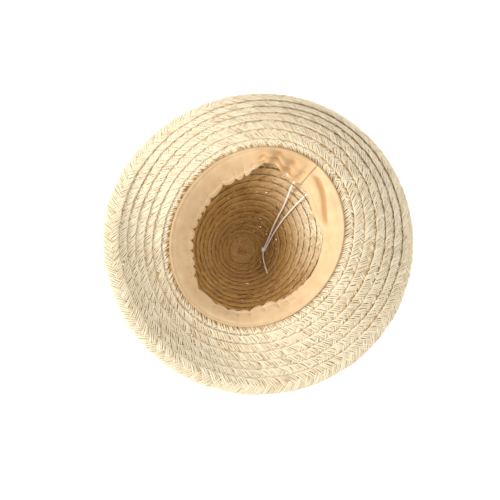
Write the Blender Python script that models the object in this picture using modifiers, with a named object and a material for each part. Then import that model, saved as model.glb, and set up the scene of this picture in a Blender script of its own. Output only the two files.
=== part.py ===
"""Straw sun hat with a conical crown, standing on the tip of its crown with the mouth upwards.

The hat is a long plaited straw braid sewn row over row, each row lapping over the one nearer to
the tip. A cloth sweatband is sewn around the mouth and leans into the crown, and a drawstring
runs through its gathered edge and hangs out at the back seam, tied in a knot.
+Z points out of the mouth, -Y is the front of the hat and +Y is the back. Units are metres.
"""
import math

import bmesh
import bpy
import numpy as np
from mathutils import Vector

MM = 0.001
COLLECTION_NAME = "straw_sun_hat"

# Head opening: an oval, longer from front to back, 57 cm around.
MOUTH_HALF_WIDTH = 82.4 * MM
MOUTH_HALF_LENGTH = 94.2 * MM
MOUTH_HEIGHT = 114.0 * MM

# Crown: a flat tip, then a nearly straight conical wall up to the mouth.
TIP_RADIUS = 21.0 * MM
TIP_ROUNDING = 7.0 * MM
MOUTH_ROUNDING = 7.0 * MM

# Brim outline in plan: a circle off the mouth's centre, stretched a little into an oval.
BRIM_CENTRE_X = 7.2 * MM
BRIM_CENTRE_Y = 2.8 * MM
BRIM_RADIUS = 158.9 * MM
BRIM_OVAL = 0.0377
BRIM_OVAL_ANGLE = math.radians(70.0)
BRAID_END_ANGLE = math.radians(231.0)
BRAID_END_STEP = 2.0 * MM
BRAID_END_FADE = math.radians(22.0)

# Height of the brim's edge above the mouth: it dips at the back and the sides, and lifts in front.
BRIM_BACK_RISE = -38.0 * MM
BRIM_FRONT_RISE = 34.0 * MM
BRIM_SIDE_RISE = -10.0 * MM
BRIM_WAVE = 1.5 * MM
BRIM_DIP_CURVE = 2.2

# Braid rows. Row n starts n pitches from the tip and is wider than the pitch, so rows overlap.
CROWN_ROWS = 15
BRIM_ROWS = 7
ROW_WIDTH = 1.7
BRAID_THICKNESS = 1.1 * MM
LAP_RISE = 1.8 * MM
SMALL_ROWS = 2
SMALL_ROW_SEGMENTS = 20
ROW_SEGMENTS = 40
ROW_SPANS = 2
BUTTON_RADIUS = 15.5 * MM
BUTTON_SEGMENTS = 32

# Sweatband: a cloth strip whose two ends lap at the back seam.
BAND_THICKNESS = 0.8 * MM
BAND_OUTER_ROW = 0.35
BAND_INNER_ROW = -2.35
BAND_CLEARANCE = 5.0 * MM
BAND_LEAN = 8.0 * MM
BAND_RUFFLES = 24
BAND_RUFFLE_HEIGHT = 1.2 * MM
BAND_SEGMENTS = 96
BAND_SPANS = 4
SEAM_ANGLE = math.radians(88.0)
SEAM_LAP = math.radians(4.0)
SEAM_LIFT = 1.4 * MM
SEAM_LIFT_FADE = math.radians(18.0)

# Thread along the band's sewn edge.
THREAD_DIAMETER = 0.6 * MM
THREAD_POINTS = 96
THREAD_LINE = 0.1
THREAD_LIFT = 0.6 * MM
THREAD_SWEEP = math.radians(350.0)

# Drawstring.
CORD_DIAMETER = 1.6 * MM
CORD_POINT_SPACING = 4.0 * MM
CASING_ROW = 12.85
CASING_LIFT = 9.3
CASING_START = 99.0
CASING_END = 431.0
CASING_STOPS = 40
CASING_POINT_SPACING = 5.8 * MM
KNOT_RADII = (2.4 * MM, 2.0 * MM, 2.0 * MM)

# Routes as (row, angle in degrees, height above the straw's smooth surface in millimetres).
LEFT_LEG_ROUTE = (
    (12.4, 93.0, 11.6),
    (12.0, 92.5, 11.6),
    (11.2, 91.0, 9.8),
    (10.0, 88.5, 7.6),
    (8.8, 85.5, 6.5),
    (7.6, 82.5, 6.1),
    (6.5, 78.5, 6.1),
    (5.6, 73.5, 6.1),
    (4.8, 66.5, 6.1),
    (4.1, 57.5, 6.2),
    (3.6, 47.0, 6.3),
)
RIGHT_LEG_ROUTE = (
    (12.4, 78.0, 11.6),
    (12.0, 78.0, 11.6),
    (11.2, 77.8, 9.8),
    (10.0, 77.2, 7.6),
    (8.8, 76.0, 6.5),
    (7.6, 74.0, 6.1),
    (6.5, 70.5, 6.1),
    (5.6, 66.0, 6.1),
    (4.8, 59.5, 6.1),
    (4.1, 50.0, 6.2),
    (3.6, 38.5, 6.3),
)
CASING_LEFT_END = (
    (12.55, 94.3, 10.9),
    (12.75, 96.3, 9.7),
)
CASING_RIGHT_END = (
    (12.75, 434.7, 9.7),
    (12.55, 436.7, 10.9),
)
KNOT_PLACE = (3.3, 36.0, 6.9)
TAIL_ROUTE = (
    (3.3, 26.0, 6.5),
    (3.5, 16.0, 6.2),
    (3.9, 7.0, 6.1),
    (4.4, 0.0, 6.1),
    (5.0, -6.0, 6.1),
    (5.7, -11.0, 6.1),
    (6.4, -15.0, 6.1),
)

PROFILE_SAMPLES = 600
EDGE_ROW = CROWN_ROWS + BRIM_ROWS - 1 + ROW_WIDTH
STRAW_COLOUR = (0.80, 0.66, 0.42, 1.0)
CLOTH_COLOUR = (0.78, 0.58, 0.35, 1.0)
THREAD_COLOUR = (0.86, 0.76, 0.58, 1.0)
CORD_COLOUR = (0.90, 0.84, 0.70, 1.0)


def clear_scene():
    for scene_object in list(bpy.data.objects):
        bpy.data.objects.remove(scene_object, do_unlink=True)


def make_collection(name):
    collection = bpy.data.collections.new(name)
    bpy.context.scene.collection.children.link(collection)
    return collection


def make_material(name, colour, roughness):
    material = bpy.data.materials.new(name)
    material.use_nodes = True
    shader = material.node_tree.nodes["Principled BSDF"]
    shader.inputs["Base Color"].default_value = colour
    shader.inputs["Roughness"].default_value = roughness
    shader.inputs["Metallic"].default_value = 0.0
    material.diffuse_color = colour
    return material


def smooth_max(a, b, rounding):
    return 0.5 * (a + b + np.sqrt((a - b) ** 2 + rounding ** 2))


def smooth_min(a, b, rounding):
    return 0.5 * (a + b - np.sqrt((a - b) ** 2 + rounding ** 2))


def smooth_step(value):
    value = min(1.0, max(0.0, value))
    return value * value * (3.0 - 2.0 * value)


def mouth_radius(angle):
    """Distance from the hat's axis to the oval mouth."""
    across = math.cos(angle) / MOUTH_HALF_WIDTH
    along = math.sin(angle) / MOUTH_HALF_LENGTH
    return 1.0 / math.hypot(across, along)


def edge_radius(angle):
    """Distance from the hat's axis to the brim's edge, with the small step where the braid ends."""
    towards = BRIM_CENTRE_X * math.cos(angle) + BRIM_CENTRE_Y * math.sin(angle)
    off_centre = BRIM_CENTRE_X ** 2 + BRIM_CENTRE_Y ** 2
    radius = towards + math.sqrt(towards ** 2 + BRIM_RADIUS ** 2 - off_centre)
    radius *= 1.0 + BRIM_OVAL * math.cos(2.0 * (angle - BRIM_OVAL_ANGLE))
    past_end = (angle - BRAID_END_ANGLE) % (2.0 * math.pi)
    return radius - BRAID_END_STEP * math.exp(-past_end / BRAID_END_FADE)


def edge_rise(angle):
    """Height of the brim's edge above the mouth."""
    level = (BRIM_BACK_RISE + BRIM_FRONT_RISE + 2.0 * BRIM_SIDE_RISE) / 4.0
    tilt = (BRIM_BACK_RISE - BRIM_FRONT_RISE) / 2.0
    bend = (BRIM_BACK_RISE + BRIM_FRONT_RISE - 2.0 * BRIM_SIDE_RISE) / 4.0
    wave = BRIM_WAVE * math.cos(3.0 * angle + 0.6)
    return level + tilt * math.sin(angle) - bend * math.cos(2.0 * angle) + wave


def surface_height(angle, radius):
    """Height of the hat's smooth surface, for an array of distances from the axis."""
    mouth = mouth_radius(angle)
    steepness = MOUTH_HEIGHT / (mouth - TIP_RADIUS)
    wall = smooth_max(0.0, steepness * (radius - TIP_RADIUS), TIP_ROUNDING)
    across = np.clip((radius - mouth) / (edge_radius(angle) - mouth), 0.0, 1.0)
    front = 0.5 - 0.5 * math.sin(angle)
    dipping = across ** BRIM_DIP_CURVE
    lifting = across ** 3 * (4.0 - 3.0 * across)
    brim = MOUTH_HEIGHT + edge_rise(angle) * (dipping * (1.0 - front) + lifting * front)
    return smooth_min(wall, brim, MOUTH_ROUNDING)


def row_profile(angle):
    """Rows, radii and heights along the surface at one angle, with the rows evenly spaced."""
    radius = np.linspace(0.0, edge_radius(angle), PROFILE_SAMPLES)
    height = surface_height(angle, radius)
    step = np.hypot(np.diff(radius), np.diff(height))
    length = np.concatenate(([0.0], np.cumsum(step)))
    mouth_length = np.interp(mouth_radius(angle), radius, length)
    known_lengths = (0.0, mouth_length, length[-1])
    row = np.interp(length, known_lengths, (0.0, CROWN_ROWS, EDGE_ROW))
    return row, radius, height


def surface_point(angle, row):
    rows, radii, heights = row_profile(angle)
    radius = float(np.interp(row, rows, radii))
    height = float(np.interp(row, rows, heights))
    return Vector((radius * math.cos(angle), radius * math.sin(angle), height))


def surface_normal(angle, row):
    """Unit normal on the wearer's side: upwards on the brim, inwards in the crown."""
    low = max(row - 0.25, 0.02)
    high = min(row + 0.25, EDGE_ROW)
    along_row = surface_point(angle + 0.02, row) - surface_point(angle - 0.02, row)
    outwards = surface_point(angle, high) - surface_point(angle, low)
    return outwards.cross(along_row).normalized()


def point_above(angle, row, lift):
    return surface_point(angle, row) + surface_normal(angle, row) * lift


def mapped_sheet(name, across_count, around_count, place):
    """Grid mesh whose corners are moved to place(across, around), both running from 0 to 1."""
    grid = bmesh.new()
    bmesh.ops.create_grid(grid, x_segments=across_count, y_segments=around_count, size=0.5)
    for corner in grid.verts:
        corner.co = place(corner.co.x + 0.5, corner.co.y + 0.5)
    bmesh.ops.remove_doubles(grid, verts=grid.verts, dist=1e-6)
    mesh = bpy.data.meshes.new(name)
    grid.to_mesh(mesh)
    grid.free()
    mesh.shade_smooth()
    return mesh


def add_object(name, data, collection, material):
    new_object = bpy.data.objects.new(name, data)
    new_object.data.materials.append(material)
    collection.objects.link(new_object)
    return new_object


def thicken(sheet_object, thickness):
    solidify = sheet_object.modifiers.new("thickness", "SOLIDIFY")
    solidify.thickness = thickness
    solidify.offset = 1.0
    solidify.use_even_offset = False
    return solidify


def row_name(index):
    if index < CROWN_ROWS:
        return f"crown_row_{index + 1:02d}"
    return f"brim_row_{index - CROWN_ROWS + 1}"


def make_button(collection, material):
    """Flat start of the braid, which the hat stands on."""
    disc = bmesh.new()
    bmesh.ops.create_cone(
        disc,
        cap_ends=True,
        segments=BUTTON_SEGMENTS,
        radius1=BUTTON_RADIUS,
        radius2=BUTTON_RADIUS,
        depth=BRAID_THICKNESS,
    )
    bmesh.ops.translate(disc, verts=disc.verts, vec=(0.0, 0.0, BRAID_THICKNESS / 2.0))
    mesh = bpy.data.meshes.new("crown_button")
    disc.to_mesh(mesh)
    disc.free()
    return add_object("crown_button", mesh, collection, material)


def make_row(index, collection, material):
    """One turn of the braid, lapped over the turn nearer to the tip."""
    segments = SMALL_ROW_SEGMENTS if index <= SMALL_ROWS else ROW_SEGMENTS

    def place(across, around):
        angle = 2.0 * math.pi * (around % 1.0)
        lift = LAP_RISE * ROW_WIDTH * (1.0 - across)
        return point_above(angle, index + ROW_WIDTH * across, lift)

    mesh = mapped_sheet(row_name(index), ROW_SPANS, segments, place)
    row = add_object(row_name(index), mesh, collection, material)
    thicken(row, BRAID_THICKNESS)
    return row


def band_point(across, angle):
    """Point on the sweatband's hidden face: across is 0 at the sewn edge and 1 at the free edge."""
    row = CROWN_ROWS + BAND_OUTER_ROW + (BAND_INNER_ROW - BAND_OUTER_ROW) * across
    past_seam = angle - SEAM_ANGLE
    lift = BAND_CLEARANCE + BAND_LEAN * across ** 1.5
    lift += BAND_RUFFLE_HEIGHT * across ** 3 * math.sin(BAND_RUFFLES * angle)
    lift += SEAM_LIFT * (1.0 - smooth_step(past_seam / SEAM_LIFT_FADE))
    return point_above(angle, row, lift)


def make_sweatband(collection, material):
    start = SEAM_ANGLE - SEAM_LAP
    sweep = 2.0 * math.pi + 2.0 * SEAM_LAP

    def place(across, around):
        return band_point(1.0 - across, start + sweep * around)

    mesh = mapped_sheet("sweatband", BAND_SPANS, BAND_SEGMENTS, place)
    band = add_object("sweatband", mesh, collection, material)
    thicken(band, BAND_THICKNESS)
    return band


def smooth_route(points, spacing):
    """Evenly spaced points on a smooth curve through the route's own points."""
    padded = [points[0] * 2.0 - points[1]] + list(points) + [points[-1] * 2.0 - points[-2]]
    dense = []
    for index in range(1, len(padded) - 2):
        before, here, there, after = padded[index - 1:index + 3]
        for step in range(20):
            t = step / 20.0
            dense.append(
                0.5
                * (
                    2.0 * here
                    + (there - before) * t
                    + (2.0 * before - 5.0 * here + 4.0 * there - after) * t ** 2
                    + (3.0 * here - before - 3.0 * there + after) * t ** 3
                )
            )
    dense.append(points[-1])
    lengths = np.concatenate(
        ([0.0], np.cumsum([(b - a).length for a, b in zip(dense, dense[1:])]))
    )
    count = max(2, int(round(lengths[-1] / spacing)) + 1)
    samples = np.linspace(0.0, lengths[-1], count)
    columns = [np.interp(samples, lengths, [point[axis] for point in dense]) for axis in range(3)]
    return [Vector(values) for values in zip(*columns)]


def make_cord(name, points, collection, material, diameter=CORD_DIAMETER, sides_step=2):
    curve = bpy.data.curves.new(name, "CURVE")
    curve.dimensions = "3D"
    curve.bevel_depth = diameter / 2.0
    curve.bevel_resolution = sides_step
    curve.use_fill_caps = True
    spline = curve.splines.new("POLY")
    spline.points.add(len(points) - 1)
    for spline_point, point in zip(spline.points, points):
        spline_point.co = (point.x, point.y, point.z, 1.0)
    return add_object(name, curve, collection, material)


def make_thread(collection, material):
    """Sewing thread that holds the sweatband to the straw, from one side of the lap to the other."""
    points = []
    for index in range(THREAD_POINTS):
        angle = SEAM_ANGLE + THREAD_SWEEP * index / (THREAD_POINTS - 1)
        row = CROWN_ROWS + BAND_OUTER_ROW + (BAND_INNER_ROW - BAND_OUTER_ROW) * THREAD_LINE
        lift = BAND_THICKNESS + THREAD_DIAMETER / 2.0 + THREAD_LIFT
        points.append(band_point(THREAD_LINE, angle) + surface_normal(angle, row) * lift)
    return make_cord("sweatband_thread", points, collection, material, THREAD_DIAMETER, 1)


def route_points(route):
    return [point_above(math.radians(angle), row, lift * MM) for row, angle, lift in route]


def make_casing_cord(collection, material):
    """Length of the drawstring that runs behind the band's gathered edge."""
    sweep = CASING_END - CASING_START
    loop = tuple(
        (CASING_ROW, CASING_START + sweep * index / CASING_STOPS, CASING_LIFT)
        for index in range(CASING_STOPS + 1)
    )
    route = CASING_LEFT_END + loop + CASING_RIGHT_END
    points = smooth_route(route_points(route), CASING_POINT_SPACING)
    return make_cord("drawstring_in_casing", points, collection, material)


def make_knot(collection, material):
    knot = bmesh.new()
    bmesh.ops.create_uvsphere(knot, u_segments=12, v_segments=8, radius=1.0)
    row, angle, lift = KNOT_PLACE
    centre = point_above(math.radians(angle), row, lift * MM)
    up = surface_normal(math.radians(angle), row)
    along = Vector((0.35, -0.94, 0.0))
    along = (along - up * along.dot(up)).normalized()
    side = up.cross(along)
    for corner in knot.verts:
        x, y, z = corner.co
        offset = along * (x * KNOT_RADII[0]) + side * (y * KNOT_RADII[1]) + up * (z * KNOT_RADII[2])
        corner.co = centre + offset
    mesh = bpy.data.meshes.new("drawstring_knot")
    knot.to_mesh(mesh)
    knot.free()
    mesh.shade_smooth()
    return add_object("drawstring_knot", mesh, collection, material)


def main():
    clear_scene()
    collection = make_collection(COLLECTION_NAME)
    straw = make_material("straw_braid", STRAW_COLOUR, 0.7)
    cloth = make_material("sweatband_cloth", CLOTH_COLOUR, 0.8)
    thread = make_material("sewing_thread", THREAD_COLOUR, 0.6)
    cord = make_material("drawstring_cord", CORD_COLOUR, 0.6)

    make_button(collection, straw)
    for index in range(1, CROWN_ROWS + BRIM_ROWS):
        make_row(index, collection, straw)
    make_sweatband(collection, cloth)
    make_thread(collection, thread)
    make_casing_cord(collection, cord)
    for name, route in (
        ("drawstring_left_leg", LEFT_LEG_ROUTE),
        ("drawstring_right_leg", RIGHT_LEG_ROUTE),
        ("drawstring_tail", TAIL_ROUTE),
    ):
        make_cord(name, smooth_route(route_points(route), CORD_POINT_SPACING), collection, cord)
    make_knot(collection, cord)


main()
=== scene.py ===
"""Looks of the straw sun hat: a plaited braid, a gathered cloth sweatband and a knotted drawstring.

The hat stands on the tip of its crown with the mouth upwards, and +Y is its back. Every piece is
laid out on the hat's smooth surface, by angle around the hat, row of the braid and height above the
surface, with the same driving sizes as the CAD model. Rows are counted from the tip of the crown.
Heights are on the wearer's side, which is the inside of the crown. Units are metres.
"""
import math
from dataclasses import dataclass

import bpy
import numpy as np
from mathutils import Matrix, Vector


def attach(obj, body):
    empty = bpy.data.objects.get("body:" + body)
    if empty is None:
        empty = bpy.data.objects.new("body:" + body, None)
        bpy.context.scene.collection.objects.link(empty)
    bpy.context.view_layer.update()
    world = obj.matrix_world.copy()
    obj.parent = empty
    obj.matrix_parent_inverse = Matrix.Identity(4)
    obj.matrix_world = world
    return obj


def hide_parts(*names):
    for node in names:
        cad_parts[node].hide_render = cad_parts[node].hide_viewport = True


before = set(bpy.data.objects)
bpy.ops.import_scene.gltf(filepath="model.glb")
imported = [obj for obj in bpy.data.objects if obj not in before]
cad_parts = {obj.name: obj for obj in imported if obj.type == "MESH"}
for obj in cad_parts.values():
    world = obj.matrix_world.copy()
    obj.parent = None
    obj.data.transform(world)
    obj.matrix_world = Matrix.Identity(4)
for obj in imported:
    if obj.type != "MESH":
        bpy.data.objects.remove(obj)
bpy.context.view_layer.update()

MM = 0.001
TURN = 2.0 * math.pi

# The hat's surface, as in the CAD model.
MOUTH_HALF_WIDTH = 82.4 * MM
MOUTH_HALF_LENGTH = 94.2 * MM
MOUTH_HEIGHT = 114.0 * MM
TIP_RADIUS = 21.0 * MM
TIP_ROUNDING = 7.0 * MM
MOUTH_ROUNDING = 7.0 * MM
BRIM_CENTRE_X = 7.2 * MM
BRIM_CENTRE_Y = 2.8 * MM
BRIM_RADIUS = 158.9 * MM
BRIM_OVAL = 0.0377
BRIM_OVAL_ANGLE = math.radians(70.0)
BRAID_END_ANGLE = math.radians(231.0)
BRAID_END_STEP = 2.0 * MM
BRAID_END_FADE = math.radians(22.0)
BRIM_BACK_RISE = -38.0 * MM
BRIM_FRONT_RISE = 34.0 * MM
BRIM_SIDE_RISE = -10.0 * MM
BRIM_WAVE = 1.5 * MM
BRIM_DIP_CURVE = 2.2
CROWN_ROWS = 15
BRIM_ROWS = 7
ROW_WIDTH = 1.7
LAP_RISE = 1.8 * MM
EDGE_ROW = CROWN_ROWS + BRIM_ROWS - 1 + ROW_WIDTH
PROFILE_SAMPLES = 600
ROW_PITCH = 9.7 * MM

# Lookup tables of the surface.
TABLE_ANGLES = 720
TABLE_ROW_STEP = 0.05
TABLE_ROWS = int(round((EDGE_ROW + 0.3) / TABLE_ROW_STEP)) + 1

# Plait: three strands, each a bunch of straw strips that fold over together at the plait's edges.
# A period is the length in which a strand goes to one edge, to the other and back.
PLAIT_PERIOD = 31.0 * MM
STRANDS = 3
STRIPS = 4
SECTIONS_PER_PERIOD = 16
STRAND_SPREAD = 0.97
EDGE_ROUNDING = 0.91
STRIP_WIDTH = 1.88 * MM
STRIP_THICKNESS = 0.62 * MM
STRIP_SECTION = np.array(
    [(-0.5, 0.0), (-0.3, -0.42), (0.3, -0.42), (0.5, 0.0), (0.3, 0.42), (-0.3, 0.42)]
)
WEAVE_HEIGHT = 0.45 * MM
WEAVE_SQUARENESS = 2.2
STRAND_CAMBER = 0.17 * MM
PLAIT_MIDDLE = 0.95 * MM
FIRST_ROW_START = -0.15
ROW_SEED = 100

# How the rows lap. In the crown the outer edge of a row is on top, on the brim the inner edge is.
CROWN_LAP = -0.9
BRIM_LAP = 1.0
LAP_CHANGE_ROWS = (CROWN_ROWS - 4, CROWN_ROWS - 1)
CLOSE_LAP = 0.32
CLOSE_LAP_ANGLE = 160.0
CLOSE_LAP_REACH = 42.0
STAND_OFF = 0.8 * MM
STAND_OFF_ANGLE = 222.0
STAND_OFF_REACH = 34.0
STAND_OFF_ROW = 20.7

# Unevenness of the plait. Noise is a sum of waves whose counts are stretched by these shares, and
# the pairs below are waves in each period of the plait, and their size.
WAVE_STRETCHES = (0.6, 1.0, 1.7, 2.9)
WANDER_WAVES = (0.5, 0.035)
FOLD_WAVES = (0.9, 0.13)
ACROSS_WAVES = (1.5, 0.022)
HEIGHT_WAVES = (1.2, 0.11 * MM)
TWIST_WAVES = (0.8, 0.2)
WIDTH_WAVES = (1.3, 0.13)
STRAND_TONE_WAVES = (0.4, 0.04)
STRIP_TONE_WAVES = (1.1, 0.07)
SHADE_WAVES = (1.0, 0.12)

# Tone of the straw, from 0 (dark) to 1 (pale), and where shade and light are painted into it.
STRAW_TONE = 0.52
STRAND_TONE_SPREAD = 0.03
STRIP_TONE_SPREAD = 0.06
WEAVE_SHADE = 0.10
LAP_SHADE = 0.5
CROWN_SHADE_SHARE = 0.6
LAP_SHADE_START = 0.93
LAP_SHADE_WIDTH = 0.12
CLOSE_LAP_PALER = 0.34
STAND_OFF_SHADE = 0.5
# Centre and reach of a painted lit patch on the crown's wall, where the key light falls.
LIT_WALL_ANGLE = 58.0
LIT_WALL_REACH = 44.0
# Painted shade on the straw along the band's sewn edge, strongest around this angle.
BAND_SHADE_ANGLE = 200.0
BAND_SHADE_REACH = 75.0
# Painted shade on the brim's first rows by the mouth, around this angle.
MOUTH_SHADE_ANGLE = 262.0
MOUTH_SHADE_REACH = 38.0
FIBRE_STRETCH = 1.2

# Sweatband: a strip of cloth sewn around the mouth, its free edge gathered on the drawstring.
# Angles are in degrees around the hat, unless they are converted here.
BAND_SEWN_ROW = 15.35
BAND_FREE_ROW = 12.70
BAND_SEWN_LIFT = 4.6 * MM
BAND_FREE_LIFT = 13.0 * MM
BAND_HALF_THICKNESS = 0.35 * MM
BAND_STEPS_AROUND = 900
BAND_STEPS_ACROSS = 44
BAND_CUT_WIDTH = 32.0 * MM
SEAM_DEGREES = 88.0
SEAM_ANGLE = math.radians(SEAM_DEGREES)
SEAM_LAP = math.radians(4.0)
SEAM_LIFT = 1.5 * MM
SEAM_FADE = math.radians(20.0)
HEM_SHARE = 0.78
HEM_BULGE = 0.8 * MM
THREAD_RADIUS = 0.22 * MM
STITCH_ACROSS = 0.115
STITCHES = 170
RUFFLED_ANGLES = (125.0, 335.0)
LOW_EDGE_ANGLES = (250.0, 410.0)
NOTCH_ANGLE = 118.0
HUMP_ANGLE = 318.0
TAB_ANGLES = (91.0, 124.0)
SAG_ANGLES = (50.0, 84.0)
CREASE_DEPTH = 1.5 * MM
# Painted shade over the crumpled tab: its angles and strength.
TAB_SHADE_ANGLES = (91.0, 128.0)
TAB_SHADE = 0.62
STITCHED_SHARE = 0.972
STITCH_SHARE = 0.36

# Drawstring: stops are (row, angle in degrees, height above the surface in millimetres). The
# casing is the hem of the sweatband, and the gaps keep the hidden length off the swinging ones.
CORD_DIAMETER = 1.6 * MM
CORD_SPACING = 0.5 * MM
PLIES = 3
PLY_TWIST = 4.2 * MM
PLY_OFFSET = 0.235 * CORD_DIAMETER
PLY_RADIUS = 0.265 * CORD_DIAMETER
CORD_GAP = 2.2 * MM
CASING_DEGREES = (94.0, 437.8)
CASING_STEPS = 70
CASING_DEPTH = 0.14
CASING_TAPER = math.radians(6.0)
LEFT_LEG = (
    (12.4, 93.0, 11.6),
    (12.0, 92.5, 11.6),
    (11.2, 91.0, 9.8),
    (10.0, 88.5, 7.6),
    (8.8, 85.5, 6.5),
    (7.6, 82.5, 6.1),
    (6.5, 78.5, 6.1),
    (5.6, 73.5, 6.1),
    (4.8, 66.5, 6.1),
    (4.1, 57.5, 6.2),
    (3.6, 47.0, 6.3),
)
RIGHT_LEG = (
    (12.4, 78.0, 11.6),
    (12.0, 78.0, 11.6),
    (11.2, 77.8, 9.8),
    (10.0, 77.2, 7.6),
    (8.8, 76.0, 6.5),
    (7.6, 74.0, 6.1),
    (6.5, 70.5, 6.1),
    (5.6, 66.0, 6.1),
    (4.8, 59.5, 6.1),
    (4.1, 50.0, 6.2),
    (3.6, 38.5, 6.3),
)
TAIL = (
    (3.3, 26.0, 6.5),
    (3.5, 16.0, 6.2),
    (3.9, 7.0, 6.1),
    (4.4, 0.0, 6.1),
    (5.0, -6.0, 6.1),
    (5.7, -11.0, 6.1),
    (6.4, -15.0, 6.1),
)
KNOT_PLACE = (3.3, 36.0, 6.9)
KNOT_LOOP = 0.62 * MM

# Camera.
CAMERA_TILT = math.radians(10.9)
CAMERA_SIDE = math.radians(260.1)
CAMERA_ROLL = math.radians(38.1)
CAMERA_DISTANCE = 1.2
CAMERA_LENS = 86.4
CAMERA_RIGHT = -7.0 * MM
CAMERA_UP = -13.6 * MM
SENSOR_WIDTH = 36.0

# Floor and lights. A light is its angle and elevation in degrees, distance, size, power and colour.
FLOOR_HALF = 15.0
FLOOR_DROP = 0.3 * MM
WORLD_STRENGTH = 0.82
KEY_LIGHT = (232.0, 26.0, 1.7, 0.75, 29.0, (1.0, 0.99, 0.97))
TOP_LIGHT = (50.0, 62.0, 2.0, 1.2, 5.0, (1.0, 1.0, 1.0))

# Colours. Those with stops run from dark to pale.
PLAIN_STRAW = (
    (0.30, (0.30, 0.17, 0.07)),
    (0.62, (0.60, 0.44, 0.24)),
    (0.86, (0.79, 0.64, 0.41)),
    (1.0, (0.88, 0.76, 0.54)),
)
# Painted shade inside the crown: darker, more saturated straw.
CROWN_SHADE_STRAW = (
    (0.30, (0.10, 0.03, 0.005)),
    (0.62, (0.28, 0.12, 0.014)),
    (0.90, (0.43, 0.20, 0.032)),
    (1.0, (0.53, 0.28, 0.062)),
)
TAN_COTTON = (
    (0.25, (0.67, 0.44, 0.225)),
    (0.55, (0.74, 0.51, 0.275)),
    (0.8, (0.79, 0.58, 0.34)),
)
# Colour of the painted shade on the cloth.
CREASE_SHADE_COLOUR = (0.52, 0.30, 0.12, 1.0)
THREAD_COLOUR = (0.82, 0.72, 0.54)
CORD_COLOUR = (0.97, 0.95, 0.87)


def smooth_max(a, b, rounding):
    """The larger of two values, with a rounded change from one to the other."""
    return 0.5 * (a + b + np.sqrt((a - b) ** 2 + rounding ** 2))


def smooth_min(a, b, rounding):
    """The smaller of two values, with a rounded change from one to the other."""
    return 0.5 * (a + b - np.sqrt((a - b) ** 2 + rounding ** 2))


def smooth_step(value):
    """0 below 0, 1 above 1 and a smooth rise between."""
    value = np.clip(value, 0.0, 1.0)
    return value * value * (3.0 - 2.0 * value)


def mouth_radius(angle):
    """Distance from the hat's axis to the oval where the crown meets the brim."""
    across = math.cos(angle) / MOUTH_HALF_WIDTH
    along = math.sin(angle) / MOUTH_HALF_LENGTH
    return 1.0 / math.hypot(across, along)


def edge_radius(angle):
    """Distance from the hat's axis to the brim's edge, with the step where the braid ends."""
    towards = BRIM_CENTRE_X * math.cos(angle) + BRIM_CENTRE_Y * math.sin(angle)
    off_centre = BRIM_CENTRE_X ** 2 + BRIM_CENTRE_Y ** 2
    radius = towards + math.sqrt(towards ** 2 + BRIM_RADIUS ** 2 - off_centre)
    radius *= 1.0 + BRIM_OVAL * math.cos(2.0 * (angle - BRIM_OVAL_ANGLE))
    past_end = (angle - BRAID_END_ANGLE) % TURN
    return radius - BRAID_END_STEP * math.exp(-past_end / BRAID_END_FADE)


def edge_rise(angle):
    """Height of the brim's edge above the mouth."""
    level = (BRIM_BACK_RISE + BRIM_FRONT_RISE + 2.0 * BRIM_SIDE_RISE) / 4.0
    tilt = (BRIM_BACK_RISE - BRIM_FRONT_RISE) / 2.0
    bend = (BRIM_BACK_RISE + BRIM_FRONT_RISE - 2.0 * BRIM_SIDE_RISE) / 4.0
    wave = BRIM_WAVE * math.cos(3.0 * angle + 0.6)
    return level + tilt * math.sin(angle) - bend * math.cos(2.0 * angle) + wave


def surface_profile(angle):
    """Row numbers, radii and heights along the surface at one angle, a little past the edge."""
    mouth = mouth_radius(angle)
    edge = edge_radius(angle)
    radius = np.linspace(0.0, edge * 1.03, PROFILE_SAMPLES)
    steepness = MOUTH_HEIGHT / (mouth - TIP_RADIUS)
    wall = smooth_max(0.0, steepness * (radius - TIP_RADIUS), TIP_ROUNDING)
    across = np.clip((radius - mouth) / (edge - mouth), 0.0, 1.05)
    front = 0.5 - 0.5 * math.sin(angle)
    lifting = across ** 3 * (4.0 - 3.0 * across)
    bend = across ** BRIM_DIP_CURVE * (1.0 - front) + lifting * front
    height = smooth_min(wall, MOUTH_HEIGHT + edge_rise(angle) * bend, MOUTH_ROUNDING)
    step = np.hypot(np.diff(radius), np.diff(height))
    length = np.concatenate(([0.0], np.cumsum(step)))
    mouth_length = np.interp(mouth, radius, length)
    edge_length = np.interp(edge, radius, length)
    past_edge = (length[-1] - edge_length) / ROW_PITCH
    known_lengths = (0.0, mouth_length, edge_length, length[-1])
    known_rows = (0.0, CROWN_ROWS, EDGE_ROW, EDGE_ROW + past_edge)
    return np.interp(length, known_lengths, known_rows), radius, height


def surface_tables():
    """Points, unit normals on the wearer's side and unit outward directions, by angle and row."""
    rows = np.arange(TABLE_ROWS) * TABLE_ROW_STEP
    points = np.zeros((TABLE_ANGLES, TABLE_ROWS, 3))
    for index in range(TABLE_ANGLES):
        angle = TURN * index / TABLE_ANGLES
        known_rows, radii, heights = surface_profile(angle)
        radius = np.interp(rows, known_rows, radii)
        points[index, :, 0] = radius * math.cos(angle)
        points[index, :, 1] = radius * math.sin(angle)
        points[index, :, 2] = np.interp(rows, known_rows, heights)
    outward = np.gradient(points, axis=1)
    around = np.roll(points, -1, axis=0) - np.roll(points, 1, axis=0)
    around[:, 0, :] = around[:, 1, :]
    normals = np.cross(outward, around)
    normals /= np.linalg.norm(normals, axis=2, keepdims=True)
    outward /= np.linalg.norm(outward, axis=2, keepdims=True)
    return points, normals, outward


SURFACE, NORMALS, OUTWARD = surface_tables()


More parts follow.
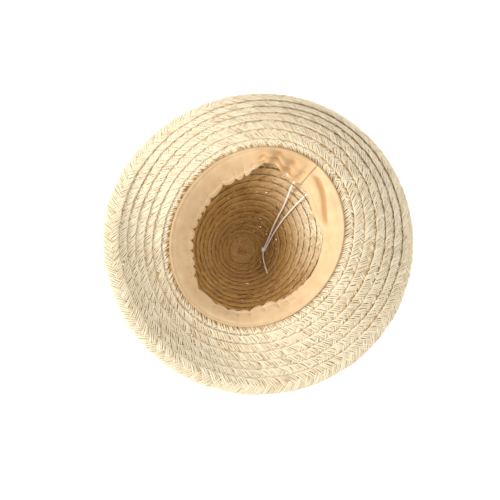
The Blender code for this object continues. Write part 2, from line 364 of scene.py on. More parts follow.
def look_up(table, angle, row):
    """Bilinear reading of a surface table at arrays of angles and rows."""
    column = np.mod(angle, TURN) / TURN * TABLE_ANGLES
    line = np.clip(row / TABLE_ROW_STEP, 0.0, TABLE_ROWS - 1.001)
    column_low = np.floor(column).astype(int) % TABLE_ANGLES
    column_high = (column_low + 1) % TABLE_ANGLES
    line_low = np.floor(line).astype(int)
    u = (column - np.floor(column))[..., None]
    v = (line - line_low)[..., None]
    low = table[column_low, line_low] * (1.0 - v) + table[column_low, line_low + 1] * v
    high = table[column_high, line_low] * (1.0 - v) + table[column_high, line_low + 1] * v
    return low * (1.0 - u) + high * u


def place(angle, row, lift):
    """Points at heights above the surface, for arrays of angles, rows and heights."""
    return look_up(SURFACE, angle, row) + look_up(NORMALS, angle, row) * np.asarray(lift)[..., None]


def wavering(rng, steps, cycles, size):
    """Smooth closed noise around a row: a few waves of random phase."""
    share = np.arange(steps) / steps
    total = np.zeros(steps)
    for stretch in WAVE_STRETCHES:
        count = max(1, int(round(cycles * stretch)))
        wave = rng.normal() * np.sin(TURN * (count * share + rng.random()))
        total += wave / math.sqrt(len(WAVE_STRETCHES))
    return total * size


def tube_mesh(sections, closed):
    """Faces of a tube of equal sections: an array of sections, corners and coordinates."""
    count, corners = sections.shape[:2]
    first = np.arange(count if closed else count - 1)
    second = (first + 1) % count
    a = first[:, None] * corners + np.arange(corners)[None, :]
    b = first[:, None] * corners + (np.arange(corners)[None, :] + 1) % corners
    c = second[:, None] * corners + (np.arange(corners)[None, :] + 1) % corners
    d = second[:, None] * corners + np.arange(corners)[None, :]
    return np.stack([a, b, c, d], axis=-1).reshape(-1, 4)


@dataclass
class BraidTurn:
    """One turn of the braid: its first row, width in rows, lap and number of plait periods."""

    start: float
    width: float
    lap: float
    periods: int

    @property
    def steps(self):
        return self.periods * SECTIONS_PER_PERIOD

    @property
    def share(self):
        return np.arange(self.steps) / self.steps

    @property
    def middle(self):
        return self.start + self.width / 2.0

    @property
    def in_crown(self):
        return self.start < CROWN_ROWS - 1


def uneven(rng, turn, waves):
    """Noise along a turn of the braid: waves in each period of the plait, and their size."""
    in_each_period, size = waves
    return wavering(rng, turn.steps, turn.periods * in_each_period, size)


def folded_swing(theta):
    """Where a strip lies across the plait, -1 to 1: straight runs that fold back at the edges."""
    return np.arcsin(EDGE_ROUNDING * np.sin(theta)) / math.asin(EDGE_ROUNDING)


def lap_direction(index):
    """How a row is tilted: above 0 its inner edge lies over the row before it, below 0 under it."""
    return float(np.interp(index, LAP_CHANGE_ROWS, (CROWN_LAP, BRIM_LAP)))


def bump_around(angle, centre, reach):
    """A smooth bump of height 1 around the hat, its centre and reach in degrees."""
    away = (np.degrees(angle) - centre + 180.0) % 360.0 - 180.0
    return np.exp(-((away / reach) ** 2))


def edge_stand_off(angle, row):
    """The last row of the brim stands a little off the one before it along one side."""
    outside = smooth_step((row - STAND_OFF_ROW) / 0.6)
    return STAND_OFF * outside * bump_around(angle, STAND_OFF_ANGLE, STAND_OFF_REACH)


def lap_rise(turn, angle):
    """How far a row rises over one pitch. The brim's rows lie closer together on one side."""
    closer = CLOSE_LAP * bump_around(angle, CLOSE_LAP_ANGLE, CLOSE_LAP_REACH)
    return LAP_RISE * (1.0 - closer * (turn.start >= CROWN_ROWS))


def strip_path(turn, strand_phase, strip, wander, rng):
    """Rows and heights along a strip, and how it weaves: 1 where it is on top, -1 where under."""
    angle = TURN * turn.share
    shift = (strip - (STRIPS - 1) / 2.0) / STRIPS * TURN / STRANDS * STRAND_SPREAD
    theta = strand_phase + shift + uneven(rng, turn, FOLD_WAVES)
    reach = turn.width / 2.0 - 0.5 * STRIP_WIDTH / ROW_PITCH
    row = turn.middle + wander + reach * folded_swing(theta)
    row += uneven(rng, turn, ACROSS_WAVES)
    tuck = 0.75 - 0.25 * np.cos(2.0 * theta)
    crossing = np.sin(2.0 * (strand_phase + tuck * shift))
    weave = -np.tanh(WEAVE_SQUARENESS * crossing) / math.tanh(WEAVE_SQUARENESS)
    tilted = abs(turn.lap) * turn.width / 2.0 + turn.lap * (turn.middle - row)
    lift = lap_rise(turn, angle) * tilted
    lift += PLAIT_MIDDLE + WEAVE_HEIGHT * weave
    lift -= STRAND_CAMBER * (2.0 * strip / (STRIPS - 1) - 1.0) ** 2
    lift += uneven(rng, turn, HEIGHT_WAVES)
    lift += edge_stand_off(angle, row)
    return row, lift, weave


def strip_sections(turn, row, lift, rng):
    """Cross-sections of a flat strip along its path, indexed by section, corner and coordinate."""
    angle = TURN * turn.share
    centre = place(angle, row, lift)
    normal = look_up(NORMALS, angle, row)
    normal = normal + look_up(OUTWARD, angle, row) * (LAP_RISE / ROW_PITCH)
    tangent = np.roll(centre, -1, axis=0) - np.roll(centre, 1, axis=0)
    tangent /= np.linalg.norm(tangent, axis=1, keepdims=True)
    side = np.cross(normal, tangent)
    side /= np.linalg.norm(side, axis=1, keepdims=True)
    normal = np.cross(tangent, side)
    twist = uneven(rng, turn, TWIST_WAVES)
    strip_width = STRIP_WIDTH * (1.0 + uneven(rng, turn, WIDTH_WAVES))
    flat = side * np.cos(twist)[:, None] + normal * np.sin(twist)[:, None]
    up = normal * np.cos(twist)[:, None] - side * np.sin(twist)[:, None]
    across = STRIP_SECTION[None, :, 0] * strip_width[:, None]
    thick = STRIP_SECTION[None, :, 1] * STRIP_THICKNESS
    sections = centre[:, None, :] + flat[:, None, :] * across[..., None]
    return sections + up[:, None, :] * thick[..., None]


def strip_tone(turn, row, weave, strand_tone, rng):
    """Tone before lap shade; painted shade by the band, at the mouth, under crossings and in the
    crown.
    """
    angle = TURN * turn.share
    tone = STRAW_TONE + strand_tone + rng.normal() * STRIP_TONE_SPREAD
    # Painted shade where a strip runs under another strand, painted light where it runs on top.
    tone = tone + uneven(rng, turn, STRIP_TONE_WAVES) + WEAVE_SHADE * weave
    # Painted shade in a thin line on the straw beside the band's sewn edge.
    band_shade = 0.3 + 0.6 * bump_around(angle, BAND_SHADE_ANGLE, BAND_SHADE_REACH)
    tone = tone - band_shade * np.exp(-(((row - BAND_SEWN_ROW - 0.09) / 0.1) ** 2))
    # Painted shade on the brim's first rows by the mouth, where the brim curves steeply.
    mouth_shade = smooth_step((row - 15.5) / 0.5) * (1.0 - smooth_step((row - 16.5) / 2.5))
    tone = tone - 0.12 * mouth_shade * bump_around(angle, MOUTH_SHADE_ANGLE, MOUTH_SHADE_REACH)
    # Painted light at the crown's tip and painted shade down the crown's walls.
    if turn.in_crown:
        tone = tone + 0.12 * (1.0 - smooth_step(row / 5.0)) - 0.09 * smooth_step((row - 6.0) / 4.0)
    return tone


def shaded_sides(turn, row, tone, rng):
    """Tones of a strip's upper and lower face, with painted shade where another row laps over or
    under it.
    """
    angle = TURN * turn.share
    near_inner = turn.start + turn.width - LAP_SHADE_START - row
    near_outer = row - turn.start - LAP_SHADE_START
    last_row = CROWN_ROWS + BRIM_ROWS - 1
    if turn.start >= last_row:
        near_outer = near_outer - 1.0
    under, over = (near_outer, near_inner) if turn.lap > 0.0 else (near_inner, near_outer)
    shade = LAP_SHADE + uneven(rng, turn, SHADE_WAVES)
    if turn.in_crown:
        shade = CROWN_SHADE_SHARE * shade
    else:
        shade = shade - CLOSE_LAP_PALER * bump_around(angle, CLOSE_LAP_ANGLE, CLOSE_LAP_REACH)
    # More painted shade in the crevice where the brim's last row stands off the one before it.
    if turn.start == last_row - 1:
        shade = shade + STAND_OFF_SHADE * bump_around(angle, STAND_OFF_ANGLE, 50.0)
    upper = tone - shade * smooth_step(under / LAP_SHADE_WIDTH)
    lower = tone - shade * smooth_step(over / LAP_SHADE_WIDTH)
    return upper, lower


def painted_crown_shade(turn, row):
    """How much painted shade a strip's inner face gets: all of the crown but a painted lit patch by
    the seam.
    """
    pale = bump_around(TURN * turn.share, LIT_WALL_ANGLE, LIT_WALL_REACH) * smooth_step((row - 6.0) / 6.0)
    return (1.0 - 0.95 * pale) * smooth_step((15.4 - row) / 1.2)


def braid_row(name, turn, rng):
    """One closed turn of three-strand plait as a mesh, lapped like a shingle."""
    corners = len(STRIP_SECTION)
    facing = np.tile(STRIP_SECTION[:, 1] > 0.1, turn.steps)
    run = np.repeat(turn.share * turn.periods * PLAIT_PERIOD * FIBRE_STRETCH, corners)
    width_place = np.tile(STRIP_SECTION[:, 0], turn.steps) * STRIP_WIDTH
    points, faces, tones, fibres, insides = [], [], [], [], []
    row_phase = rng.random() * TURN
    wander = wavering(rng, turn.steps, 3, 0.04) + uneven(rng, turn, WANDER_WAVES)
    for strand in range(STRANDS):
        strand_phase = TURN * (turn.share * turn.periods + strand / STRANDS) + row_phase
        strand_tone = rng.normal() * STRAND_TONE_SPREAD + uneven(rng, turn, STRAND_TONE_WAVES)
        for strip in range(STRIPS):
            row, lift, weave = strip_path(turn, strand_phase, strip, wander, rng)
            sections = strip_sections(turn, row, lift, rng)
            faces.append(tube_mesh(sections, True) + len(points) * turn.steps * corners)
            points.append(sections.reshape(-1, 3))
            tone = strip_tone(turn, row, weave, strand_tone, rng)
            upper, lower = shaded_sides(turn, row, tone, rng)
            tones.append(np.where(facing, np.repeat(upper, corners), np.repeat(lower, corners)))
            piece_of_noise = np.full(run.shape, rng.random() * 10.0)
            fibres.append(np.stack([run, width_place, piece_of_noise], axis=1))
            # Painted shade inside the crown, on the upper faces only, less on the painted lit
            # patch.
            insides.append(np.repeat(painted_crown_shade(turn, row), corners) * facing)
    mesh = mesh_from_arrays(name, np.concatenate(points), np.concatenate(faces))
    add_attribute(mesh, "tone", "FLOAT", np.concatenate(tones))
    add_attribute(mesh, "fibre", "FLOAT_VECTOR", np.concatenate(fibres))
    add_attribute(mesh, "inside", "FLOAT", np.concatenate(insides))
    return add_piece(name, mesh)


def mesh_from_arrays(name, points, faces):
    """A smooth-shaded mesh from arrays of points and of faces with equal corner counts."""
    mesh = bpy.data.meshes.new(name)
    mesh.vertices.add(len(points))
    mesh.vertices.foreach_set("co", np.ascontiguousarray(points, np.float32).ravel())
    mesh.loops.add(faces.size)
    mesh.loops.foreach_set("vertex_index", np.ascontiguousarray(faces, np.int32).ravel())
    mesh.polygons.add(len(faces))
    loop_starts = np.arange(0, faces.size, faces.shape[1], dtype=np.int32)
    mesh.polygons.foreach_set("loop_start", loop_starts)
    mesh.update(calc_edges=True)
    mesh.validate()
    mesh.shade_smooth()
    return mesh


def add_attribute(mesh, name, kind, values):
    """Store one value, or one vector, for each point of a mesh, for its material to read."""
    attribute = mesh.attributes.new(name, kind, "POINT")
    field = "value" if kind == "FLOAT" else "vector"
    attribute.data.foreach_set(field, np.ascontiguousarray(values, np.float32).ravel())


def add_piece(name, data):
    """A new object in the scene."""
    piece = bpy.data.objects.new(name, data)
    bpy.context.scene.collection.objects.link(piece)
    return piece


def row_node(index):
    """The CAD model's node for a row of the braid."""
    if index == 0:
        return "crown_button"
    if index < CROWN_ROWS:
        return f"crown_row_{index + 1:02d}"
    return f"brim_row_{index - CROWN_ROWS + 1}"


def row_length(row):
    """Distance once around the hat along a row."""
    angle = np.linspace(0.0, TURN, 181)
    points = look_up(SURFACE, angle, np.full(angle.shape, row))
    return float(np.linalg.norm(np.diff(points, axis=0), axis=1).sum())


def make_straw(material):
    """The braid, one piece for each turn, from the tip of the crown to the brim's edge."""
    for index in range(CROWN_ROWS + BRIM_ROWS):
        rng = np.random.default_rng(ROW_SEED + index)
        start = index if index else FIRST_ROW_START
        periods = max(2, int(round(row_length(start + ROW_WIDTH / 2.0) / PLAIT_PERIOD)))
        turn = BraidTurn(start, ROW_WIDTH, lap_direction(index), periods)
        node = row_node(index)
        piece = braid_row(f"straw_{node}", turn, rng)
        piece.data.materials.append(material)
        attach(piece, "hat")
        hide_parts(node)


def plateau(angle, start, end, soft):
    """1 between two angles around the hat, in degrees, and 0 elsewhere, with soft ends."""
    middle = (start + end) / 2.0
    away = np.abs((np.degrees(angle) - middle + 180.0) % 360.0 - 180.0)
    return smooth_step(((end - start) / 2.0 - away) / soft + 0.5)


def pleats(angle):
    """Uneven gathers: 0 in the notch between two ruffles and 1 on the crest of each."""
    phase = 19.0 * angle + 1.3 * np.sin(3.0 * angle + 1.0) + 0.9 * np.sin(7.0 * angle + 2.0)
    return np.abs(np.sin(phase)) ** 0.6


def gathered(angle):
    """How strongly the free edge is gathered at each angle."""
    strong = plateau(angle, *RUFFLED_ANGLES, 25.0)
    return 0.35 + 0.65 * strong - 0.25 * plateau(angle, 5.0, 75.0, 20.0)


def free_row(angle):
    """Row that the band's free edge reaches, less deep in the crown at the notch and the seam."""
    near = plateau(angle, *LOW_EDGE_ANGLES, 26.0)
    row = BAND_FREE_ROW + 0.5 * near + 1.55 * bump_around(angle, NOTCH_ANGLE, 13.0)
    row += 0.45 * bump_around(angle, SEAM_DEGREES, 12.0)
    row -= 0.45 * bump_around(angle, HUMP_ANGLE, 12.0)
    row += 0.12 * np.sin(5.0 * angle + 0.7) + 0.34 * gathered(angle) * (0.6 - pleats(angle))
    return row


def free_lift(angle):
    """Height of the band's free edge above the straw's surface."""
    near = plateau(angle, *LOW_EDGE_ANGLES, 26.0)
    lift = BAND_FREE_LIFT - 6.6 * MM * near - 4.0 * MM * bump_around(angle, NOTCH_ANGLE, 14.0)
    lift += 3.0 * MM * bump_around(angle, HUMP_ANGLE, 12.0)
    lift -= 1.5 * MM * bump_around(angle, SEAM_DEGREES, 12.0)
    return lift + 1.5 * MM * gathered(angle) * (pleats(angle) - 0.6)


def band_heights(across, angle):
    """Height of the cloth above the straw, from the sewn edge (0) to the free edge (1).

    The free edge sinks between ruffles, the sewn edge is rolled and the stitches draw the cloth in.
    """
    lift = BAND_SEWN_LIFT + (free_lift(angle) - BAND_SEWN_LIFT) * across ** 1.3
    fold = smooth_step((across - 0.35) / 0.65) ** 1.5
    lift -= 1.3 * MM * fold * gathered(angle) * (1.0 - pleats(angle)) ** 2
    rolled_edge = np.exp(-(((across - 0.045) / 0.035) ** 2))
    stitched_line = np.exp(-(((across - STITCH_ACROSS) / 0.022) ** 2))
    lift += 0.5 * MM * rolled_edge
    lift -= 0.5 * MM * stitched_line
    fullness = np.sin(math.pi * np.clip((across - 0.12) / 0.88, 0.0, 1.0))
    lift += 0.8 * MM * fullness
    lift += 0.35 * MM * np.sin(9.0 * angle + 4.0 * across) * across
    lift += crumples(across, angle)
    return lift


def crumples(across, angle):
    """Folds near the seam: a crumpled tab on one side and a sagging fold on the other."""
    degrees = np.degrees(angle) % 360.0
    tab = plateau(angle, *TAB_ANGLES, 8.0)
    creases = np.sin(0.36 * degrees + 8.0 * across) * np.sin(0.19 * degrees - 9.0 * across + 1.0)
    lift = 3.4 * MM * tab * creases * np.sin(math.pi * np.clip(across, 0.0, 1.0)) ** 0.7
    lift = lift * smooth_step(across / 0.4) + 0.9 * MM * tab * smooth_step(across / 0.15)
    valley = 0.30 + 0.10 * np.sin(np.radians(4.0 * (degrees - 95.0)))
    lift -= 1.3 * MM * plateau(angle, 92.0, 116.0, 10.0) * np.exp(-(((across - 0.2) / 0.1) ** 2))
    sag = 0.42 + 0.25 * smooth_step((86.0 - degrees) / 34.0)
    trench = np.exp(-(((across - sag - valley + 0.3) / 0.13) ** 2))
    sagging = plateau(angle, *SAG_ANGLES, 12.0)
    return lift + sagging * (0.9 * MM * smooth_step(across / 0.3) - 3.4 * MM * trench)


def band_point(across, angle):
    """Points of the band's middle surface; the strip's start lies on top of its end at the seam."""
    row = BAND_SEWN_ROW + (free_row(angle) - BAND_SEWN_ROW) * across
    past_seam = (angle - SEAM_ANGLE) / SEAM_FADE
    lift = band_heights(across, angle) + SEAM_LIFT * (1.0 - smooth_step(past_seam))
    return place(angle, row, lift)


def make_band(material):
    """The sweatband: a thin sheet with a rolled sewn edge and a hem around the drawstring."""
    share = np.linspace(0.0, 1.0, BAND_STEPS_AROUND)
    angle = SEAM_ANGLE + (TURN + SEAM_LAP) * share
    across = np.linspace(0.0, 1.0, BAND_STEPS_ACROSS) ** 0.85
    angles, acrosses = np.meshgrid(angle, across, indexing="ij")
    middle = band_point(acrosses, angles)
    along = np.gradient(middle, axis=0)
    over = np.gradient(middle, axis=1)
    normal = np.cross(over, along)
    normal /= np.linalg.norm(normal, axis=2, keepdims=True)
    hem = smooth_step((acrosses - HEM_SHARE) / 0.05)
    hem *= 0.35 + 0.65 * np.sqrt(np.clip((1.0 - acrosses) / (1.0 - HEM_SHARE), 0.0, 1.0))
    half = BAND_HALF_THICKNESS + HEM_BULGE * hem
    half = half * np.sqrt(np.clip((1.0 - acrosses) / 0.04, 0.25, 1.0))
    top = middle + normal * half[..., None]
    bottom = middle - normal * half[..., None]
    points = np.concatenate([top.reshape(-1, 3), bottom.reshape(-1, 3)])
    mesh = mesh_from_arrays("sweatband_cloth", points, closed_sheet_faces(*middle.shape[:2]))
    length = angles * mouth_radius(0.0)
    width = acrosses * BAND_CUT_WIDTH
    weave = np.stack([length, width, np.zeros(length.shape)], axis=-1).reshape(-1, 3)
    add_attribute(mesh, "weave", "FLOAT_VECTOR", np.concatenate([weave, weave]))
    # Painted shade: in the creases, over the crumpled tab and along the sewn edge.
    sunk = np.clip(-crumples(acrosses, angles) / CREASE_DEPTH, 0.0, 1.0)
    sunk = np.maximum(sunk, TAB_SHADE * plateau(angles, *TAB_SHADE_ANGLES, 10.0))
    sunk = np.maximum(sunk, np.clip(1.0 - acrosses / 0.03, 0.0, 1.0)).reshape(-1)
    add_attribute(mesh, "sunk", "FLOAT", np.concatenate([sunk, sunk]))
    piece = add_piece("sweatband_cloth", mesh)
    piece.data.materials.append(material)
    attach(piece, "hat")
    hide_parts("sweatband")


def closed_sheet_faces(rows, columns):
    """Quads of two equal grids, one after the other, joined around their border."""
    index = np.arange(rows * columns).reshape(rows, columns)
    low = index + rows * columns
    top = np.stack([index[:-1, :-1], index[:-1, 1:], index[1:, 1:], index[1:, :-1]], axis=-1)
    bottom = np.stack([low[:-1, :-1], low[1:, :-1], low[1:, 1:], low[:-1, 1:]], axis=-1)
    faces = [top.reshape(-1, 4), bottom.reshape(-1, 4)]
    border = np.concatenate([index[:, 0], index[-1, 1:], index[-2::-1, -1], index[0, -2:0:-1]])
    following = np.roll(border, -1)
    shift = rows * columns
    faces.append(np.stack([border, following, following + shift, border + shift], axis=-1))
    return np.concatenate(faces)


def sweep(points, radius, corners):
    """Sections of a round tube along points."""
    tangent = np.gradient(points, axis=0)
    tangent /= np.linalg.norm(tangent, axis=1, keepdims=True)
    sides = np.zeros(points.shape)
    side = np.cross(tangent[0], (0.3, 0.2, 0.9))
    for index in range(len(points)):
        side = side - tangent[index] * np.dot(side, tangent[index])
        side = side / np.linalg.norm(side)
        sides[index] = side
    ups = np.cross(tangent, sides)
    turn = TURN * np.arange(corners) / corners
    ring = sides[:, None, :] * np.cos(turn)[None, :, None]
    ring = ring + ups[:, None, :] * np.sin(turn)[None, :, None]
    return points[:, None, :] + ring * np.reshape(radius, (-1, 1, 1))


def joined_tubes(name, tubes):
    """One mesh of several open tubes, each tapered shut at its ends."""
    points, faces = [], []
    base = 0
    for sections in tubes:
        middle = sections.mean(axis=1, keepdims=True)
        capped = np.concatenate(
            [
                middle[:1] + (sections[:1] - middle[:1]) * 0.02,
                sections,
                middle[-1:] + (sections[-1:] - middle[-1:]) * 0.02,
            ]
        )
        points.append(capped.reshape(-1, 3))
        faces.append(tube_mesh(capped, False) + base)
        base += capped.shape[0] * capped.shape[1]
    return mesh_from_arrays(name, np.concatenate(points), np.concatenate(faces))


def make_thread(material):
    """Stitches that sew the band down, each one sinking into the cloth at both ends."""
    tubes = []
    share = np.linspace(-1.0, 1.0, 9)
    for stitch in range(STITCHES):
        middle = SEAM_ANGLE + SEAM_LAP + TURN * STITCHED_SHARE * (stitch + 0.5) / STITCHES
        angle = middle + share * STITCH_SHARE * TURN / STITCHES
        surface = band_point(np.full(angle.shape, STITCH_ACROSS), angle)
        up = look_up(NORMALS, angle, np.full(angle.shape, BAND_SEWN_ROW))
        rise = BAND_HALF_THICKNESS + 0.28 * MM - 0.55 * MM * share ** 4
        tubes.append(sweep(surface + up * rise[:, None], THREAD_RADIUS, 6))
    piece = add_piece("band_stitches", joined_tubes("band_stitches", tubes))
    piece.data.materials.append(material)
    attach(piece, "hat")
    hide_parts("sweatband_thread")


def smooth_route(stops, spacing):
    """Evenly spaced points on a smooth curve through the stops."""
    stops = np.array(stops)
    ends = np.concatenate([2.0 * stops[:1] - stops[1:2], stops, 2.0 * stops[-1:] - stops[-2:-1]])
    fine = []
    t = np.linspace(0.0, 1.0, 20, endpoint=False)[:, None]
    for index in range(len(stops) - 1):
        a, b, c, d = ends[index : index + 4]
        curve = 2.0 * b + (c - a) * t + (2.0 * a - 5.0 * b + 4.0 * c - d) * t ** 2
        fine.append(0.5 * (curve + (3.0 * b - a - 3.0 * c + d) * t ** 3))
    fine = np.concatenate(fine + [stops[-1:]])
    length = np.concatenate(([0.0], np.cumsum(np.linalg.norm(np.diff(fine, axis=0), axis=1))))
    even = np.linspace(0.0, length[-1], max(2, int(round(length[-1] / spacing)) + 1))
    return np.stack([np.interp(even, length, fine[:, axis]) for axis in range(3)], axis=1)


def cord_route(stops):
    """A cord's centreline through stops given as row, angle and height above the surface."""
    stops = np.array(stops)
    points = place(np.radians(stops[:, 1]), stops[:, 0], stops[:, 2] * MM)
    return smooth_route(points, CORD_SPACING)


def twisted_cord(name, route):
    """A cord of three plies twisted around its centreline."""
    run = np.concatenate(([0.0], np.cumsum(np.linalg.norm(np.diff(route, axis=0), axis=1))))
    frame_ring = sweep(route, 1.0, 4)
    side = frame_ring[:, 0] - route
    up = frame_ring[:, 1] - route
    tubes = []
    for ply in range(PLIES):
        turn = TURN * (run / PLY_TWIST + ply / PLIES)
        away = side * np.cos(turn)[:, None] + up * np.sin(turn)[:, None]
        tubes.append(sweep(route + away * PLY_OFFSET, PLY_RADIUS, 8))
    return add_piece(name, joined_tubes(name, tubes))


def finish_cord(piece, node, body, material):
    """Give a piece of the drawstring its material, its body and the node it replaces."""
    piece.data.materials.append(material)
    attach(piece, body)
    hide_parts(node)


def casing_route():
    """The drawstring's hidden length in the hem, and its two ends that reach the free lengths."""
    angle = np.linspace(*np.radians(CASING_DEGREES), CASING_STEPS)
    near_end = np.minimum(angle - angle[0], angle[-1] - angle)
    across = 1.0 - CASING_DEPTH * smooth_step(near_end / CASING_TAPER)
    hidden = band_point(across, angle)
    start = short_of(cord_route(LEFT_LEG)[0], hidden[0])
    end = short_of(cord_route(RIGHT_LEG)[0], hidden[-1])
    return smooth_route(np.concatenate([[start], hidden, [end]]), 1.0 * MM)


def short_of(point, towards):
    """A point one small gap away from the given one, so that the two lengths of cord don't meet."""
    step = towards - point
    return point + step / np.linalg.norm(step) * CORD_GAP


def make_knot(ends):
    """A small overhand knot with the cord's three lengths running into it."""
    turn = np.linspace(0.0, TURN, 61)
    loop = np.stack(
        [
            np.sin(turn) + 2.0 * np.sin(2.0 * turn),
            np.cos(turn) - 2.0 * np.cos(2.0 * turn),
            -1.3 * np.sin(3.0 * turn),
        ],
        axis=1,
    )
    row, degrees, height = KNOT_PLACE
    centre = place(math.radians(degrees), np.array(row), height * MM)
    tubes = [sweep(centre + loop * KNOT_LOOP, CORD_DIAMETER / 2.0, 10)]
    for end in ends:
        run_in = np.linspace(0.0, 1.0, 12)[:, None]
        tubes.append(sweep(end + (centre - end) * run_in * 0.85, CORD_DIAMETER * 0.47, 10))
    return add_piece("drawstring_overhand_knot", joined_tubes("drawstring_overhand_knot", tubes))


def make_drawstring(material):
    """The drawstring: the free lengths and their knot, which swing, and the hidden length."""
    left = cord_route(LEFT_LEG)
    right = cord_route(RIGHT_LEG)
    tail = cord_route(TAIL)
    for name, node, route, far_end in (
        ("drawstring_left_length", "drawstring_left_leg", left, "knot"),
        ("drawstring_right_length", "drawstring_right_leg", right, "knot"),
        ("drawstring_end", "drawstring_tail", tail, "bare"),
    ):
        piece = twisted_cord(name, route)
        finish_cord(piece, node, "drawstring", material)
    knot = make_knot([left[-1], right[-1], tail[0]])
    finish_cord(knot, "drawstring_knot", "drawstring", material)
    casing = twisted_cord("drawstring_in_hem", casing_route())
    finish_cord(casing, "drawstring_in_casing", "hat", material)


def node_maker(material):
    """A function that adds a shader node, with its settings and its inputs' values or links."""
    tree = material.node_tree

    def make(kind, settings=(), inputs=()):
        node = tree.nodes.new(kind)
        for key, value in dict(settings).items():
            setattr(node, key, value)
        for key, value in dict(inputs).items():
            if isinstance(value, bpy.types.NodeSocket):
                tree.links.new(value, node.inputs[key])
            else:
                node.inputs[key].default_value = value
        return node

    return make


def new_material(name):
    """A material, its main shader and its node maker."""
    material = bpy.data.materials.new(name)
    material.use_nodes = True
    return material, material.node_tree.nodes["Principled BSDF"], node_maker(material)


def ramp(make, factor, stops):
    """A colour that follows a factor through stops given as position and colour."""
    node = make("ShaderNodeValToRGB", inputs={"Fac": factor})
    elements = node.color_ramp.elements
    while len(elements) < len(stops):
        elements.new(0.5)
    for element, (position, colour) in zip(elements, stops):
        element.position = position
        element.color = (*colour, 1.0)
    return node.outputs["Color"]


def mixed_colours(make, factor, colour_at_0, colour_at_1):
    """A mix of two colours."""
    inputs = {"Factor": factor, 6: colour_at_0, 7: colour_at_1}
    return make("ShaderNodeMix", {"data_type": "RGBA"}, inputs).outputs[2]


def scaled_sum(make, value, scale, other):
    """A value times a scale, plus another value."""
    settings = {"operation": "MULTIPLY_ADD"}
    return make("ShaderNodeMath", settings, {0: value, 1: scale, 2: other}).outputs[0]


def noise(make, coordinates, scale, detail):
    """Smooth noise over the given coordinates."""
    inputs = {"Vector": coordinates, "Scale": scale, "Detail": detail}
    return make("ShaderNodeTexNoise", inputs=inputs).outputs["Fac"]


def bumped(make, height, strength, distance):
    """A normal bumped by a height."""
    inputs = {"Height": height, "Strength": strength, "Distance": distance}
    return make("ShaderNodeBump", inputs=inputs).outputs["Normal"]


def finish_material(material, shader, colour, normal, roughness):
    """Link a shader's colour and normal, and set its roughness."""
    links = material.node_tree.links
    links.new(colour, shader.inputs["Base Color"])
    links.new(normal, shader.inputs["Normal"])
    shader.inputs["Roughness"].default_value = roughness
    return material


def straw_material():
    """Dry straw: fine streaks, soft patches, painted shade in the laps and painted shade inside the
    crown.
    """
    material, shader, make = new_material("plaited_straw")
    tone = make("ShaderNodeAttribute", {"attribute_name": "tone"}).outputs["Fac"]
    fibre = make("ShaderNodeAttribute", {"attribute_name": "fibre"}).outputs["Vector"]
    stretched = make(
        "ShaderNodeVectorMath", {"operation": "MULTIPLY"}, {0: fibre, 1: (60.0, 1800.0, 7.0)}
    ).outputs[0]
    streaks = noise(make, stretched, 1.0, 3.0)
    patches = noise(make, make("ShaderNodeTexCoord").outputs["Object"], 55.0, 2.0)
    mixed = scaled_sum(make, streaks, 0.55, tone)
    mixed = scaled_sum(make, patches, 0.35, mixed)
    plain_straw = ramp(make, mixed, PLAIN_STRAW)
    crown_shaded = ramp(make, mixed, CROWN_SHADE_STRAW)
    inside = make("ShaderNodeAttribute", {"attribute_name": "inside"}).outputs["Fac"]
    # The crown's inside takes the painted-shade colours.
    colour = mixed_colours(make, inside, plain_straw, crown_shaded)
    shader.inputs["Specular IOR Level"].default_value = 0.35
    return finish_material(material, shader, colour, bumped(make, streaks, 0.5, 0.2 * MM), 0.55)


def cloth_material():
    """Tan cotton: a fine weave, faint clouds, and painted shade in the creases, over the tab and
    along the sewn edge.
    """
    material, shader, make = new_material("tan_cotton")
    weave = make("ShaderNodeAttribute", {"attribute_name": "weave"}).outputs["Vector"]
    warp, weft = (
        make(
            "ShaderNodeTexWave",
            {"wave_type": "BANDS", "bands_direction": direction},
            {"Vector": weave, "Scale": 700.0, "Distortion": 0.6, "Detail": 1.0},
        ).outputs["Fac"]
        for direction in ("X", "Y")
    )
    threads = make("ShaderNodeMath", {"operation": "MULTIPLY"}, {0: warp, 1: weft}).outputs[0]
    cloud = noise(make, weave, 90.0, 4.0)
    colour = ramp(make, cloud, TAN_COTTON)
    sunk = make("ShaderNodeAttribute", {"attribute_name": "sunk"}).outputs["Fac"]
    colour = mixed_colours(make, sunk, colour, CREASE_SHADE_COLOUR)
    shader.inputs["Sheen Weight"].default_value = 0.15
    return finish_material(material, shader, colour, bumped(make, threads, 0.25, 0.1 * MM), 0.75)


def cord_material(name, colour):
    """Fuzzy cotton in one colour, for the drawstring and the sewing thread."""
    material, shader, make = new_material(name)
    fuzz = noise(make, make("ShaderNodeTexCoord").outputs["Object"], 1400.0, 3.0)
    dark = tuple(0.88 * value for value in colour)
    shade = ramp(make, fuzz, ((0.3, dark), (0.65, colour)))
    return finish_material(material, shader, shade, bumped(make, fuzz, 0.4, 0.1 * MM), 0.7)


def camera_axes():
    """The camera's right, up and backward directions."""
    back = Vector(
        (
            math.sin(CAMERA_TILT) * math.cos(CAMERA_SIDE),
            math.sin(CAMERA_TILT) * math.sin(CAMERA_SIDE),
            math.cos(CAMERA_TILT),
        )
    )
    turn = Vector((0.0, 0.0, 1.0)).rotation_difference(back)
    right = turn @ Vector((math.cos(CAMERA_ROLL), math.sin(CAMERA_ROLL), 0.0))
    up = turn @ Vector((-math.sin(CAMERA_ROLL), math.cos(CAMERA_ROLL), 0.0))
    return right, up, back


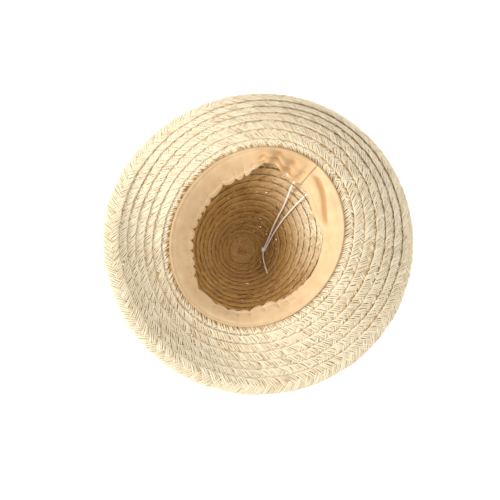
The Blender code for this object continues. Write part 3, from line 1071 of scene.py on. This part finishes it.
def make_camera():
    """A camera that looks into the hat's mouth."""
    right, up, back = camera_axes()
    data = bpy.data.cameras.new("camera")
    data.lens = CAMERA_LENS
    data.sensor_width = SENSOR_WIDTH
    camera = bpy.data.objects.new("camera", data)
    bpy.context.scene.collection.objects.link(camera)
    target = Vector((0.0, 0.0, MOUTH_HEIGHT))
    location = target + back * CAMERA_DISTANCE + right * CAMERA_RIGHT + up * CAMERA_UP
    turn = Matrix((right, up, back)).transposed().to_4x4()
    camera.matrix_world = Matrix.Translation(location) @ turn
    data.clip_start = 0.05
    data.clip_end = 50.0
    bpy.context.scene.camera = camera


def area_light(name, angle, elevation, distance, size, power, colour):
    """Soft light at an angle around the hat and an elevation, both in degrees, facing the mouth."""
    data = bpy.data.lights.new(name, "AREA")
    data.shape = "DISK"
    data.size = size
    data.energy = power
    data.color = colour
    light = bpy.data.objects.new(name, data)
    bpy.context.scene.collection.objects.link(light)
    around = math.radians(angle)
    rise = math.radians(elevation)
    level = math.cos(rise)
    away = Vector((math.cos(around) * level, math.sin(around) * level, math.sin(rise)))
    light.location = Vector((0.0, 0.0, MOUTH_HEIGHT)) + away * distance
    light.rotation_mode = "QUATERNION"
    light.rotation_quaternion = away.to_track_quat("Z", "Y")


def make_floor():
    """A plain pale floor, just below the tip of the crown."""
    data = bpy.data.meshes.new("floor")
    half = FLOOR_HALF
    corners = [(-half, -half, 0.0), (half, -half, 0.0), (half, half, 0.0), (-half, half, 0.0)]
    data.from_pydata(corners, [], [(0, 1, 2, 3)])
    floor = add_piece("floor", data)
    floor.location.z = -FLOOR_DROP
    material, shader, _ = new_material("pale_floor")
    shader.inputs["Base Color"].default_value = (0.9, 0.9, 0.9, 1.0)
    shader.inputs["Roughness"].default_value = 0.9
    shader.inputs["Emission Color"].default_value = (1.0, 1.0, 1.0, 1.0)
    shader.inputs["Emission Strength"].default_value = 0.3
    data.materials.append(material)


def make_light():
    """Plain soft light all around, a low warm light from the left and a weak one from above."""
    world = bpy.data.worlds.new("studio")
    bpy.context.scene.world = world
    world.use_nodes = True
    background = world.node_tree.nodes["Background"]
    background.inputs["Color"].default_value = (1.0, 1.0, 1.0, 1.0)
    background.inputs["Strength"].default_value = WORLD_STRENGTH
    area_light("key_light", *KEY_LIGHT)
    area_light("top_light", *TOP_LIGHT)
    bpy.context.scene.view_settings.view_transform = "Standard"


make_camera()
make_floor()
make_light()
make_straw(straw_material())
make_band(cloth_material())
make_thread(cord_material("cream_thread", THREAD_COLOUR))
make_drawstring(cord_material("cream_cotton_cord", CORD_COLOUR))
